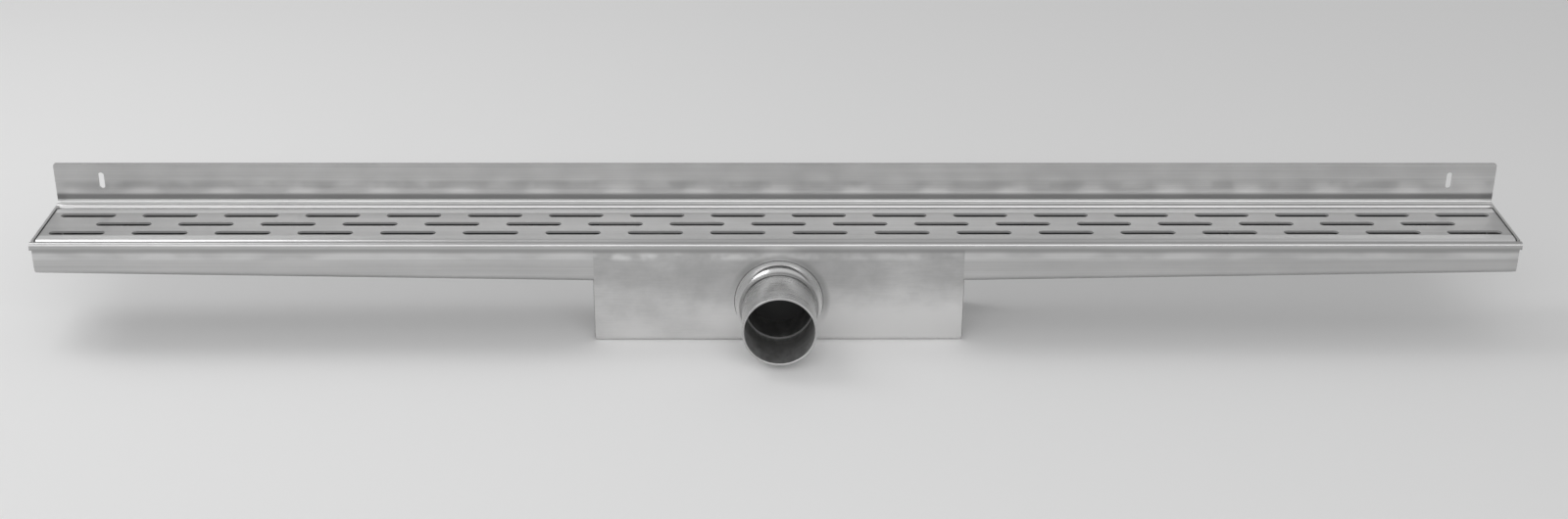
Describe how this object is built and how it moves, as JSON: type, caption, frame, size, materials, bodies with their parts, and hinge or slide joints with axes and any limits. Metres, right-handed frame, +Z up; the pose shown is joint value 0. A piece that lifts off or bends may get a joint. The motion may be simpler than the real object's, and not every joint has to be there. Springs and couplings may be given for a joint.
{
  "type": "linear shower drain",
  "caption": "Long slotted shower channel with a wall flange, a sloped trough, a central trap box and a round horizontal outlet.",
  "frame": {"origin": "on the underside of the trap box, under the middle of the channel's length and width", "axes": "+X along the channel, -Y out of the outlet's mouth, +Y towards the wall, +Z up"},
  "size_m": [1, 0.1145, 0.104],
  "materials": {
    "channel_sheet": "satin stainless sheet, brushed along its length",
    "grate_sheet": "satin stainless sheet, finely brushed along its length",
    "box_sheet": "satin stainless sheet, pickled and slightly mottled",
    "outlet_tube": "drawn stainless tube, turned finish",
    "strainer_sheet": "perforated stainless sheet",
    "trap_plastic": "moulded polypropylene",
    "gasket_rubber": "black rubber"
  },
  "bodies": {
    "root": {"channel_tray": "channel_sheet", "end_plate_left": "channel_sheet", "end_plate_right": "channel_sheet", "trap_box": "box_sheet", "box_side_left": "box_sheet", "box_side_right": "box_sheet", "outlet_collar": "outlet_tube", "outlet_spigot": "outlet_tube", "outlet_sleeve": "outlet_tube", "weir_cup": "trap_plastic", "trap_hood": "trap_plastic", "hood_gasket": "gasket_rubber", "hair_strainer": "strainer_sheet", "grate": "grate_sheet", "grate_fold_front": "grate_sheet", "grate_fold_back": "grate_sheet", "grate_rib_1": "grate_sheet", "grate_rib_2": "grate_sheet", "grate_rib_3": "grate_sheet", "grate_rib_4": "grate_sheet", "grate_rib_5": "grate_sheet", "grate_rib_6": "grate_sheet"}
  },
  "joints": []
}
